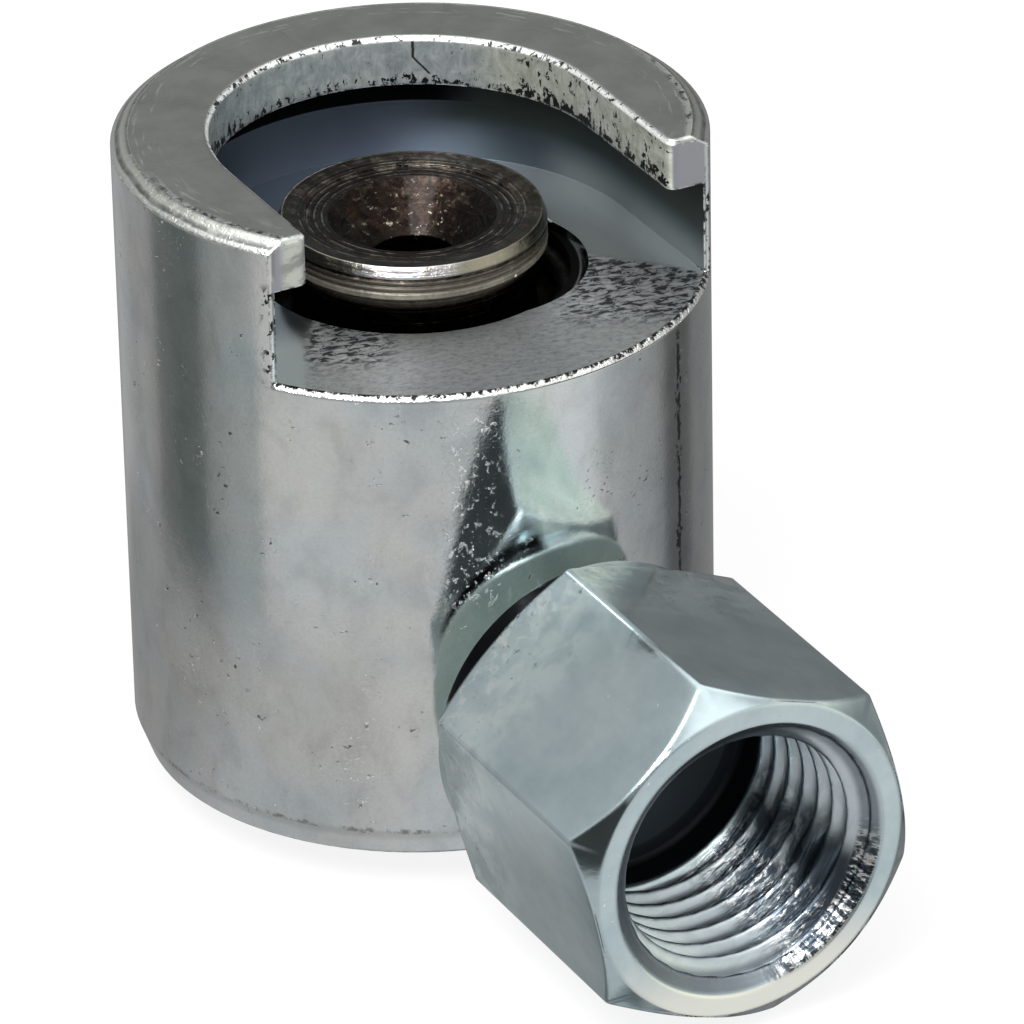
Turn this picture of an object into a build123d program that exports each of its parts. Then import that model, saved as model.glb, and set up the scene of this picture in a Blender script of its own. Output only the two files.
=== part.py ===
from build123d import *
from math import cos, radians, sin, sqrt, tan
import os

# Slide-on coupler for giant button-head grease nipples.
# Millimetres. +Z runs up the body's axis, and the origin is the centre of its base.
# The pocket for the nipple's head and the hose inlet both face -Y.

# Body
wall_thickness = 2.8
body_height = 31.5
top_bevel_width = 0.75
top_bevel_height = 0.55
base_bevel_width = 0.5
base_bevel_height = 1.4

# Nipple that the coupler slides over
head_diameter = 22.0
head_clearance = 0.2
neck_diameter = 18.4
neck_clearance = 0.2

# T-slot that takes the nipple's head
lip_thickness = 2.5
pocket_height = 4.65
tip_width = 2.09
tip_corner_radius = 0.5
lip_edge_bevel = 0.2
shelf_edge_bevel = 0.18
level_tolerance = 0.01
plunge_mark_radius = 5.9
plunge_mark_x = 1.9
plunge_mark_y = -1.4
plunge_mark_depth = 0.45

# Piston bore, blind from the shelf down
bore_radius = 7.4
bore_edge_bevel = 0.2
base_thickness = 3.5

# Round-wire snap ring that keeps the piston in
ring_wire_diameter = 1.0
ring_groove_depth = 0.4
ring_play = 0.1
ring_gap_angle = 30
ring_depth = 1.1

# Piston
bore_clearance = 0.05
piston_stand_out = 2.7
nose_radius = 6.35
nose_height = 2.0
nose_top_radius = 6.15
nose_bevel_height = 0.45
stem_radius = 5.8
stem_bevel_height = 0.4
flange_height = 2.4
flange_bevel = 0.3
spigot_radius = 4.4
spigot_overhang = 0.4
grease_hole_radius = 1.95
rim_inner_radius = 5.05
rim_slope_depth = 0.15
rim_step_depth = 0.1
cone_mouth_radius = 4.0
cone_depth = 2.1
turning_groove_depth = 0.12
turning_groove_width = 0.2
turning_groove_pitch = 0.31
turning_groove_count = 3

# Rings stacked under the piston's flange
stack_clearance = 0.05
backup_ring_height = 0.8
packing_height = 2.4
packing_lip_width = 0.6
packing_groove_depth = 1.2
spring_seat_height = 1.0
spring_seat_radius = 7.0

# Piston spring
seat_gap = 0.05
spring_wire_diameter = 1.5
spring_mean_radius = 5.9
spring_turns = 5.0

# Inlet adapter, screwed in a little to one side of the body's axis
inlet_offset = 0.73
inlet_height = 7.15
hex_across_flats = 16.0
hex_turn = 41.6
hex_gap = 2.3
hex_back_wall = 2.29
hex_bevel_angle = 45
back_bevel_angle = 30
collar_step = 0.2
collar_thickness = 1.2
neck_radius = 5.0
neck_seat_depth = 1.3
spigot_thread_radius = 4.4
spigot_length = 3.4
socket_clearance = 0.05
inlet_passage_radius = 2.0

# Female pipe thread, G 1/4, drawn plain at its minor diameter
thread_minor_radius = 5.72
thread_relief_radius = 6.6
thread_relief_width = 2.6
thread_length = 8.22
mouth_radius = 7.0
drill_point_angle = 118

# Washer under the adapter's spigot
washer_thickness = 1.0
washer_inner_radius = 3.0
washer_clearance = 0.1

# Check valve inside the adapter
ball_radius = 2.0
ball_gap = 0.03
ball_chamber_radius = 2.6
ball_seat_radius = 1.3
ball_seat_angle = 45
ball_seat_land = 0.54
check_wire_diameter = 0.4
check_mean_radius = 1.7
check_turns = 3.0
retainer_thickness = 0.9
retainer_hole_radius = 1.2

# Heights that follow from the sizes above
lip_bottom = body_height - lip_thickness
shelf_height = lip_bottom - pocket_height
ring_top = shelf_height - ring_depth
ring_bottom = ring_top - ring_wire_diameter
nose_top = shelf_height + piston_stand_out
nose_bottom = nose_top - nose_height
cone_top = nose_top - rim_slope_depth - rim_step_depth
flange_top = ring_bottom - seat_gap
flange_bottom = flange_top - flange_height
backup_bottom = flange_bottom - backup_ring_height
packing_bottom = backup_bottom - packing_height
seat_bottom = packing_bottom - spring_seat_height
spigot_bottom = seat_bottom - spigot_overhang

# Radii that follow
pocket_half_width = head_diameter / 2 + head_clearance
lip_half_width = neck_diameter / 2 + neck_clearance
body_radius = pocket_half_width + wall_thickness
tip_distance = sqrt(body_radius**2 - (lip_half_width + tip_width) ** 2)
groove_radius = bore_radius + ring_groove_depth
ring_mean_radius = groove_radius - ring_play - ring_wire_diameter / 2
piston_radius = bore_radius - bore_clearance
stack_bore_radius = spigot_radius + stack_clearance
flat_distance = hex_across_flats / 2

# Distances along the inlet, counted outwards from the body's axis
hex_back_distance = body_radius + hex_gap
neck_seat_distance = body_radius - neck_seat_depth
spigot_end_distance = neck_seat_distance - spigot_length
washer_end_distance = spigot_end_distance - washer_thickness
retainer_distance = spigot_end_distance + retainer_thickness
cavity_end_distance = hex_back_distance + hex_back_wall
thread_end_distance = cavity_end_distance + thread_relief_width
thread_start_distance = thread_end_distance + thread_length
hex_front_distance = thread_start_distance + mouth_radius - thread_minor_radius
drill_slope = tan(radians(drill_point_angle / 2))
drill_end_distance = cavity_end_distance - (thread_minor_radius - ball_seat_radius) / drill_slope
ball_seat_distance = drill_end_distance - ball_seat_land
seat_slope = tan(radians(ball_seat_angle))
seat_mouth_distance = ball_seat_distance - (ball_chamber_radius - ball_seat_radius) / seat_slope
seat_apex_distance = ball_seat_distance + ball_seat_radius / seat_slope
ball_distance = seat_apex_distance - (ball_radius + ball_gap) / sin(radians(ball_seat_angle))

# Places for sketches: the body's half section, and the inlet's seen along and across its axis
half_section = Plane.XZ
inlet_face = Plane(origin=(inlet_offset, 0, inlet_height), x_dir=(1, 0, 0), z_dir=(0, -1, 0))
inlet_section = Plane(origin=(inlet_offset, 0, inlet_height), x_dir=(0, -1, 0), z_dir=(1, 0, 0))
inlet_axis = Axis((inlet_offset, 0, inlet_height), (0, -1, 0))
beyond = 2 * body_radius

os.makedirs("parts", exist_ok=True)


def save(piece, name):
    """Labels a finished piece and writes it to its own file."""
    piece.part.label = name
    export_step(piece.part, f"parts/{name}.step")


def slot_opening(half_width):
    """Draws a slot with a round end on the body's axis, and the open front beyond the lip's tips."""
    Circle(half_width)
    with Locations((0, -beyond / 2)):
        Rectangle(2 * half_width, beyond)
    with Locations((0, -tip_distance - beyond / 2)):
        Rectangle(2 * beyond, beyond)


# Turned body with its T-slot, piston bore and side inlet
with BuildPart() as coupler_body:
    with BuildSketch(half_section):
        Polygon(
            (0, 0),
            (body_radius - base_bevel_width, 0),
            (body_radius, base_bevel_height),
            (body_radius, body_height - top_bevel_height),
            (body_radius - top_bevel_width, body_height),
            (0, body_height),
            align=None,
        )
    revolve(axis=Axis.Z)

    # Wide pocket for the nipple's head
    with BuildSketch(Plane.XY.offset(shelf_height)):
        slot_opening(pocket_half_width)
    extrude(amount=pocket_height, mode=Mode.SUBTRACT)

    # Narrow slot in the lip for the nipple's neck, with rounded tips
    with BuildSketch(Plane.XY.offset(lip_bottom)) as lip_slot:
        slot_opening(lip_half_width)
        tips = lip_slot.vertices().filter_by(lambda corner: abs(corner.X) < pocket_half_width)
        fillet(tips.filter_by(lambda corner: corner.Y > -tip_distance - lip_edge_bevel), tip_corner_radius)
    extrude(amount=beyond, mode=Mode.SUBTRACT)
    lip_top = coupler_body.faces().sort_by(Axis.Z)[-1]
    lip_rim = lip_top.edges().filter_by(
        lambda edge: edge.geom_type != GeomType.CIRCLE or edge.radius <= lip_half_width
    )
    chamfer(lip_rim, lip_edge_bevel)

    # Bevel along the shelf's front edge
    shelf_edges = coupler_body.edges().filter_by_position(
        Axis.Z, shelf_height - level_tolerance, shelf_height + level_tolerance
    )
    front_edge = shelf_edges.filter_by(
        lambda edge: edge.geom_type == GeomType.CIRCLE and edge.radius == body_radius
    )
    chamfer(front_edge, shelf_edge_bevel)

    # Shallow crescent that the cutter leaves beside the bore
    with BuildSketch(Plane.XY.offset(shelf_height)):
        with Locations((plunge_mark_x, plunge_mark_y)):
            Circle(plunge_mark_radius)
    extrude(amount=-plunge_mark_depth, mode=Mode.SUBTRACT)

    # Piston bore with its bevelled mouth and the snap ring's groove
    with BuildSketch(half_section):
        Polygon(
            (0, base_thickness),
            (bore_radius, base_thickness),
            (bore_radius, ring_bottom - ring_play),
            (groove_radius, ring_bottom - ring_play),
            (groove_radius, ring_top + ring_play),
            (bore_radius, ring_top + ring_play),
            (bore_radius, shelf_height - bore_edge_bevel),
            (bore_radius + bore_edge_bevel, shelf_height),
            (0, shelf_height),
            align=None,
        )
    revolve(axis=Axis.Z, mode=Mode.SUBTRACT)

    # Side inlet: spotface for the neck, socket for the spigot, and the passage to the bore
    with BuildSketch(inlet_section):
        Polygon(
            (0, 0),
            (0, inlet_passage_radius),
            (washer_end_distance, inlet_passage_radius),
            (washer_end_distance, spigot_thread_radius + socket_clearance),
            (neck_seat_distance, spigot_thread_radius + socket_clearance),
            (neck_seat_distance, neck_radius + socket_clearance),
            (beyond, neck_radius + socket_clearance),
            (beyond, 0),
            align=None,
        )
    revolve(axis=inlet_axis, mode=Mode.SUBTRACT)
save(coupler_body, "coupler_body")

# Open snap ring of round wire, with its gap at the back
with BuildPart() as snap_ring:
    start = radians(90 + ring_gap_angle / 2)
    ring_section = Plane(
        origin=(0, 0, 0),
        x_dir=(cos(start), sin(start), 0),
        z_dir=(sin(start), -cos(start), 0),
    )
    with BuildSketch(ring_section):
        with Locations((ring_mean_radius, ring_top - ring_wire_diameter / 2)):
            Circle(ring_wire_diameter / 2)
    revolve(axis=Axis.Z, revolution_arc=360 - ring_gap_angle)
save(snap_ring, "snap_ring")

# Sealing piston: dished nose, guide flange and spigot, with the grease hole right through
with BuildPart() as sealing_piston:
    with BuildSketch(half_section):
        Polygon(
            (grease_hole_radius, spigot_bottom),
            (spigot_radius, spigot_bottom),
            (spigot_radius, flange_bottom),
            (piston_radius - flange_bevel, flange_bottom),
            (piston_radius, flange_bottom + flange_bevel),
            (piston_radius, flange_top - flange_bevel),
            (piston_radius - flange_bevel, flange_top),
            (stem_radius, flange_top),
            (stem_radius, nose_bottom),
            (nose_radius, nose_bottom + stem_bevel_height),
            (nose_radius, nose_top - nose_bevel_height),
            (nose_top_radius, nose_top),
            (rim_inner_radius, nose_top - rim_slope_depth),
            (rim_inner_radius, cone_top),
            (cone_mouth_radius, cone_top),
            (grease_hole_radius, cone_top - cone_depth),
            align=None,
        )
    revolve(axis=Axis.Z)

    # Fine turning grooves below the nose's bevel
    with BuildSketch(half_section):
        for turn in range(turning_groove_count):
            groove_top = nose_top - nose_bevel_height - turning_groove_width / 2 - turn * turning_groove_pitch
            Polygon(
                (nose_radius, groove_top),
                (nose_radius - turning_groove_depth, groove_top - turning_groove_width / 2),
                (nose_radius, groove_top - turning_groove_width),
                align=None,
            )
    revolve(axis=Axis.Z, mode=Mode.SUBTRACT)
save(sealing_piston, "sealing_piston")

# Hard ring that keeps the packing from creeping past the flange
with BuildPart() as backup_ring:
    with BuildSketch(Plane.XY.offset(backup_bottom)):
        Circle(piston_radius)
        Circle(stack_bore_radius, mode=Mode.SUBTRACT)
    extrude(amount=backup_ring_height)
save(backup_ring, "backup_ring")

# Rubber packing with two lips that the grease spreads apart
with BuildPart() as piston_packing:
    groove_middle = (piston_radius + stack_bore_radius) / 2
    with BuildSketch(half_section):
        Polygon(
            (stack_bore_radius, backup_bottom),
            (piston_radius, backup_bottom),
            (piston_radius, packing_bottom),
            (piston_radius - packing_lip_width, packing_bottom),
            (groove_middle, packing_bottom + packing_groove_depth),
            (stack_bore_radius + packing_lip_width, packing_bottom),
            (stack_bore_radius, packing_bottom),
            align=None,
        )
    revolve(axis=Axis.Z)
save(piston_packing, "piston_packing")

# Washer between the packing and the spring
with BuildPart() as spring_seat:
    with BuildSketch(Plane.XY.offset(seat_bottom)):
        Circle(spring_seat_radius)
        Circle(stack_bore_radius, mode=Mode.SUBTRACT)
    extrude(amount=spring_seat_height)
save(spring_seat, "spring_seat")


def ground_spring(base, length, mean_radius, wire_radius, turns):
    """Sweeps a coil along a plane's axis, a turn longer than it needs, and grinds both ends flat."""
    pitch = (length - 2 * wire_radius) / turns
    start = base.offset(wire_radius - pitch / 2)
    with BuildLine():
        coil = Helix(
            pitch=pitch,
            height=length - 2 * wire_radius + pitch,
            radius=mean_radius,
            center=start.origin,
            direction=base.z_dir,
        )
    with BuildSketch(Plane(origin=coil @ 0, z_dir=coil % 0)) as wire:
        Circle(wire_radius)
    sweep(wire.sketch, path=coil, is_frenet=True)
    with BuildSketch(base) as envelope:
        Circle(mean_radius + 2 * wire_radius)
    extrude(envelope.sketch, amount=length, mode=Mode.INTERSECT)


# Spring that holds the piston up against the snap ring
with BuildPart() as piston_spring:
    ground_spring(
        Plane.XY.offset(base_thickness),
        seat_bottom - seat_gap - base_thickness,
        spring_mean_radius,
        spring_wire_diameter / 2,
        spring_turns,
    )
save(piston_spring, "piston_spring")

# Hexagonal inlet adapter, turned at an odd angle as it was screwed home
with BuildPart() as inlet_adapter:
    with BuildSketch(inlet_face.offset(hex_back_distance)):
        RegularPolygon(
            radius=flat_distance, side_count=6, major_radius=False, rotation=hex_turn
        )
    extrude(amount=hex_front_distance - hex_back_distance)

    # Bevels that leave round end faces touching the flats
    front_reach = flat_distance / tan(radians(hex_bevel_angle))
    back_reach = flat_distance * tan(radians(back_bevel_angle))
    with BuildSketch(inlet_section):
        Polygon(
            (hex_front_distance, flat_distance),
            (hex_front_distance, 2 * flat_distance),
            (hex_front_distance - front_reach, 2 * flat_distance),
            align=None,
        )
        Polygon(
            (hex_back_distance, flat_distance),
            (hex_back_distance, 2 * flat_distance),
            (hex_back_distance + back_reach, 2 * flat_distance),
            align=None,
        )
    revolve(axis=inlet_axis, mode=Mode.SUBTRACT)

    # Collar behind the hexagon, neck that seats in the body's spotface, and the spigot beyond it
    with BuildSketch(inlet_face.offset(hex_back_distance - collar_thickness)):
        Circle(flat_distance - collar_step)
    extrude(amount=collar_thickness)
    with BuildSketch(inlet_face.offset(neck_seat_distance)):
        Circle(neck_radius)
    extrude(amount=hex_back_distance - neck_seat_distance)
    with BuildSketch(inlet_face.offset(spigot_end_distance)):
        Circle(spigot_thread_radius)
    extrude(amount=spigot_length)

    # Threaded mouth, thread relief, drill point, ball seat and ball chamber in one bore
    with BuildSketch(inlet_section):
        Polygon(
            (hex_front_distance, 0),
            (hex_front_distance, mouth_radius),
            (thread_start_distance, thread_minor_radius),
            (thread_end_distance, thread_minor_radius),
            (thread_end_distance, thread_relief_radius),
            (cavity_end_distance, thread_relief_radius),
            (cavity_end_distance, thread_minor_radius),
            (drill_end_distance, ball_seat_radius),
            (ball_seat_distance, ball_seat_radius),
            (seat_mouth_distance, ball_chamber_radius),
            (spigot_end_distance, ball_chamber_radius),
            (spigot_end_distance, 0),
            align=None,
        )
    revolve(axis=inlet_axis, mode=Mode.SUBTRACT)
save(inlet_adapter, "inlet_adapter")

# Soft washer that seals the spigot in its socket
with BuildPart() as inlet_washer:
    with BuildSketch(inlet_face.offset(washer_end_distance)):
        Circle(spigot_thread_radius - washer_clearance)
        Circle(washer_inner_radius, mode=Mode.SUBTRACT)
    extrude(amount=washer_thickness)
save(inlet_washer, "inlet_washer")

# Ball that keeps grease from running back
with BuildPart() as check_ball:
    with Locations((inlet_offset, -ball_distance, inlet_height)):
        Sphere(ball_radius)
save(check_ball, "check_ball")

# Light spring between the ball and the retainer
with BuildPart() as check_spring:
    wire_radius = check_wire_diameter / 2
    ball_reach = sqrt((ball_radius + wire_radius + ball_gap) ** 2 - check_mean_radius**2)
    ball_side_distance = ball_distance - ball_reach + wire_radius
    ground_spring(
        inlet_face.offset(retainer_distance),
        ball_side_distance - retainer_distance,
        check_mean_radius,
        wire_radius,
        check_turns,
    )
save(check_spring, "check_spring")

# Drilled disc that holds the check spring in
with BuildPart() as check_retainer:
    with BuildSketch(inlet_face.offset(spigot_end_distance)):
        Circle(ball_chamber_radius)
        Circle(retainer_hole_radius, mode=Mode.SUBTRACT)
    extrude(amount=retainer_thickness)
save(check_retainer, "check_retainer")
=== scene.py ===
from math import atan, cos, exp, hypot, pi, radians, sin, sqrt, tan

import bmesh
import bpy
from mathutils import Matrix, Vector


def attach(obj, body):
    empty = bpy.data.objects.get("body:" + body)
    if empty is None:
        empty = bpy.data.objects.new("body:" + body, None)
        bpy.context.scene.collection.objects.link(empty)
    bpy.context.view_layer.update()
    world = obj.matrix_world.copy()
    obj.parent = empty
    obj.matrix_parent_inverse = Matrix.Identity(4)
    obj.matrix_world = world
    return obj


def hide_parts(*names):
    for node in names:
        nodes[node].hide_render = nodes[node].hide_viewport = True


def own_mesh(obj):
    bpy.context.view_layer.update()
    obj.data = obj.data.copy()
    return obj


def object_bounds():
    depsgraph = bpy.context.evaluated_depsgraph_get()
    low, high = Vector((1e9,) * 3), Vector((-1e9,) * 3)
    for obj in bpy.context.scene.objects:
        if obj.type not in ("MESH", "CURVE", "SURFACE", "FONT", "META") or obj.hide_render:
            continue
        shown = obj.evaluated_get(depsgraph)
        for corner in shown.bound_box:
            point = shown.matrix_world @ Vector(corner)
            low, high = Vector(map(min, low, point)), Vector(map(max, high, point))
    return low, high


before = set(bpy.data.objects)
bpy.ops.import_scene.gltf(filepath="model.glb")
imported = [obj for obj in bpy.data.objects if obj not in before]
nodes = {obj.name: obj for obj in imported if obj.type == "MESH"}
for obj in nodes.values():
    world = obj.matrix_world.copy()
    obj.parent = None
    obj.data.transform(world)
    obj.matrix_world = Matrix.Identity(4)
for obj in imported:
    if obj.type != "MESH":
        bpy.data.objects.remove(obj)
cad_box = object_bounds()

# One millimetre, in metres
MM = 0.001


# Camera, fitted to the photograph's frame of 1024 pixels

picture_size = 1024
sensor_width = 36
focal_pixels = 8500
camera_azimuth = radians(-27.4)
camera_elevation = radians(28.15)
camera_roll = radians(-1.27)
camera_distance = 403.5 * MM
aim_point = Vector((0, 0, 16 * MM))
aim_pixel = (417.5, 417.0)
axis_pixel = (485, 470)
nearest_seen = 1 * MM
farthest_seen = 100


def place_camera():
    """Makes the scene's camera, turned about the aim point and shifted to the photograph's frame."""
    back = Vector((
        sin(camera_azimuth) * cos(camera_elevation),
        -cos(camera_azimuth) * cos(camera_elevation),
        sin(camera_elevation),
    ))
    level_right = Vector((cos(camera_azimuth), sin(camera_azimuth), 0))
    level_up = back.cross(level_right)
    right = cos(camera_roll) * level_right + sin(camera_roll) * level_up
    up = cos(camera_roll) * level_up - sin(camera_roll) * level_right
    aside = (aim_pixel[0] - axis_pixel[0]) / focal_pixels
    below = (aim_pixel[1] - axis_pixel[1]) / focal_pixels
    data = bpy.data.cameras.new("camera")
    data.sensor_width = sensor_width
    data.lens = focal_pixels / picture_size * sensor_width
    data.shift_x = (picture_size / 2 - axis_pixel[0]) / picture_size
    data.shift_y = (axis_pixel[1] - picture_size / 2) / picture_size
    data.clip_start = nearest_seen
    data.clip_end = farthest_seen
    camera = bpy.data.objects.new("camera", data)
    camera.matrix_world = Matrix((
        (right.x, up.x, back.x, 0),
        (right.y, up.y, back.y, 0),
        (right.z, up.z, back.z, 0),
        (0, 0, 0, 1),
    ))
    camera.location = aim_point + camera_distance * (back - right * aside + up * below)
    bpy.context.scene.collection.objects.link(camera)
    bpy.context.scene.camera = camera


place_camera()


# Node helpers

class Shader:
    """Adds and links the nodes of one material or world.

    Most methods take sockets or plain numbers and give back the socket of a new node.
    """

    def __init__(self, owner):
        owner.use_nodes = True
        self.tree = owner.node_tree
        self.tree.nodes.clear()

    def put(self, socket, value):
        if isinstance(value, bpy.types.NodeSocket):
            self.tree.links.new(value, socket)
        elif hasattr(socket.default_value, "__len__") and len(socket.default_value) == 4:
            socket.default_value = (*value, 1) if len(value) == 3 else value
        else:
            socket.default_value = value

    def add(self, kind, sockets=None, **settings):
        node = self.tree.nodes.new("ShaderNode" + kind)
        for name, value in settings.items():
            setattr(node, name, value)
        for name, value in (sockets or {}).items():
            self.put(node.inputs[name], value)
        return node

    # Numbers

    def math(self, operation, a, b=0.0):
        return self.add("Math", {0: a, 1: b}, operation=operation).outputs[0]

    def product(self, first, *others):
        result = first
        for other in others:
            result = self.math("MULTIPLY", result, other)
        return result

    def total(self, a, b):
        return self.math("ADD", a, b)

    def minus(self, a, b):
        return self.math("SUBTRACT", a, b)

    def rest(self, share):
        return self.minus(1.0, share)

    def larger(self, a, b):
        return self.math("MAXIMUM", a, b)

    def distance(self, a, b):
        return self.math("ABSOLUTE", self.minus(a, b))

    def scale_add(self, value, factor, added):
        """value * factor + added."""
        return self.add("Math", {0: value, 1: factor, 2: added}, operation="MULTIPLY_ADD").outputs[0]

    def at_level(self, value, level, reach):
        """1 where a value is within reach of a level, and 0 elsewhere."""
        return self.add("Math", {0: value, 1: level, 2: reach}, operation="COMPARE").outputs[0]

    def length(self, a, b):
        return self.math("SQRT", self.scale_add(a, a, self.product(b, b)))

    def turn(self, x, y):
        """Angle round from the front, counted towards +X."""
        return self.math("ARCTAN2", x, self.product(y, -1.0))

    def share_of_turn(self, turn):
        return self.total(self.math("DIVIDE", turn, 2 * pi), 0.5)

    def span(self, value, low, high, to_low=0.0, to_high=1.0):
        """Smooth step of a value, from 0 at low to 1 at high."""
        sockets = {"Value": value, "From Min": low, "From Max": high, "To Min": to_low, "To Max": to_high}
        return self.add("MapRange", sockets, interpolation_type="SMOOTHSTEP").outputs[0]

    def step(self, value, base, low, high):
        """The same with low and high counted from a base."""
        return self.span(value, base + low, base + high)

    def between(self, value, start, full, fade, end):
        """Rises from 0 at start to 1 at full, and falls from 1 at fade to 0 at end."""
        return self.product(self.span(value, start, full), self.span(value, end, fade))

    def sector(self, turn, *degrees):
        """Rises and falls in the same way round a turn, with the four places in degrees."""
        return self.between(turn, *map(radians, degrees))

    # Places

    def place(self):
        """The point's own place in millimetres, with its parts."""
        point = self.add("TexCoord").outputs["Object"]
        scaled = self.add("VectorMath", {0: point, "Scale": 1 / MM}, operation="SCALE").outputs[0]
        parts = self.add("SeparateXYZ", {0: scaled})
        return scaled, parts.outputs[0], parts.outputs[1], parts.outputs[2]

    def vector(self, *parts):
        """A vector of up to three parts, each a value or a (value, factor) pair."""
        values = [self.product(*part) if isinstance(part, tuple) else part for part in parts]
        values += [0.0] * (3 - len(values))
        return self.add("CombineXYZ", dict(enumerate(values))).outputs[0]

    def stretch(self, vector, x, y, z):
        return self.add("VectorMath", {0: vector, 1: (x, y, z)}, operation="MULTIPLY").outputs[0]

    def away(self, point, spot):
        """Distance between two points."""
        return self.add("VectorMath", {0: point, 1: spot}, operation="DISTANCE").outputs["Value"]

    # Patterns and colours

    def noise(self, vector, scale, detail=3.0, roughness=0.5, distortion=0.0):
        sockets = {"Vector": vector, "Scale": scale, "Detail": detail}
        sockets |= {"Roughness": roughness, "Distortion": distortion}
        return self.add("TexNoise", sockets).outputs["Fac"]

    def ramp(self, value, stops):
        """Ramp through (place, level or colour) stops."""
        node = self.add("ValToRGB", {"Fac": value})
        elements = node.color_ramp.elements
        while len(elements) > 1:
            elements.remove(elements[-1])
        for index, (place, colour) in enumerate(stops):
            element = elements[0] if index == 0 else elements.new(place)
            element.position = place
            element.color = (*colour, 1) if isinstance(colour, tuple) else (colour, colour, colour, 1)
        return node.outputs["Color"]

    def round_ramp(self, share, stops):
        """Ramp over a share of a turn, through (degrees round from the front, level or colour) stops."""
        return self.ramp(share, [((degrees + 180) / 360, level) for degrees, level in stops])

    def mix(self, factor, a, b, **settings):
        node = self.add("Mix", {"Factor": factor}, data_type="RGBA", **settings)
        self.put(node.inputs[6], a)
        self.put(node.inputs[7], b)
        return node.outputs[2]

    def blend(self, share, a, b):
        return self.mix(share, a, b)

    def tint(self, a, b):
        return self.mix(1.0, a, b, blend_type="MULTIPLY")

    def cover(self, under, over, *shares):
        """Lays a colour over another, as far as all the shares allow."""
        return self.blend(self.product(*shares), under, over)

    # Surface

    def bump(self, height, normal=None, strength=1.0):
        """Normal of a relief whose height is in millimetres."""
        sockets = {"Height": height, "Distance": MM, "Strength": strength}
        if normal is not None:
            sockets["Normal"] = normal
        return self.add("Bump", sockets).outputs[0]

    def edges(self, radius, reach):
        """How near the point is to a sharp edge, from 0 to 1, and the rounded normal."""
        rounded = self.add("Bevel", {"Radius": radius * MM}, samples=8).outputs[0]
        true = self.add("NewGeometry").outputs["True Normal"]
        agree = self.add("VectorMath", {0: rounded, 1: true}, operation="DOT_PRODUCT").outputs["Value"]
        return self.span(agree, 1.0, 1.0 - reach), rounded

    def metal(self, colour, roughness, normal, metallic=1.0, coat=0.0):
        sockets = {
            "Base Color": colour, "Roughness": roughness, "Normal": normal, "Metallic": metallic,
            "Coat Weight": coat, "Coat Roughness": 0.1,
        }
        shader = self.add("BsdfPrincipled", sockets)
        self.add("OutputMaterial", {"Surface": shader.outputs[0]})


def new_material(name):
    material = bpy.data.materials.new(name)
    return material, Shader(material)


# Sizes and places that the materials share, in millimetres

body_radius = 14.0
lip_top = 31.5
lip_bottom = 29.0
lip_bevel_width = 0.75
lip_bevel_height = 0.55
lip_wall_radius = 9.4
tip_distance = 8.0
shelf_level = 24.35
slot_half_width = 11.4
bore_reach = 7.9
crescent_reach = 8.5
base_bevel_height = 1.4
inlet_x = 0.73
inlet_level = 7.15
neck_radius = 5.0
collar_radius = 7.8
collar_back = 15.1
hex_back = 16.3
hex_face = 30.69
thread_end = 21.19
thread_minor_radius = 5.72
relief_radius = 6.6
relief_end = 18.59
nose_top = 27.05
nose_bottom = 25.05
nose_recess_radius = 5.05
nose_step_width = 0.36
crack_x = 4.45
crack_bend = 30.45
scratch_turn = radians(33.4)
patch_turn = radians(-17)
black_side_turn = radians(-38)
rust_spot = (-1.9, 3.0, 25.9)
dust_spots = [(-3.3, 2.0, 27.0), (1.4, -4.1, 27.0), (-1.7, -6.1, 26.87), (2.3, -5.85, 25.5), (4.1, -4.8, 24.7)]

# The photograph's directions on a level face: to the right, and up the picture, per millimetre of x and of y
picture_right = (0.888, -0.460)
picture_up = (0.217, 0.419)


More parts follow.
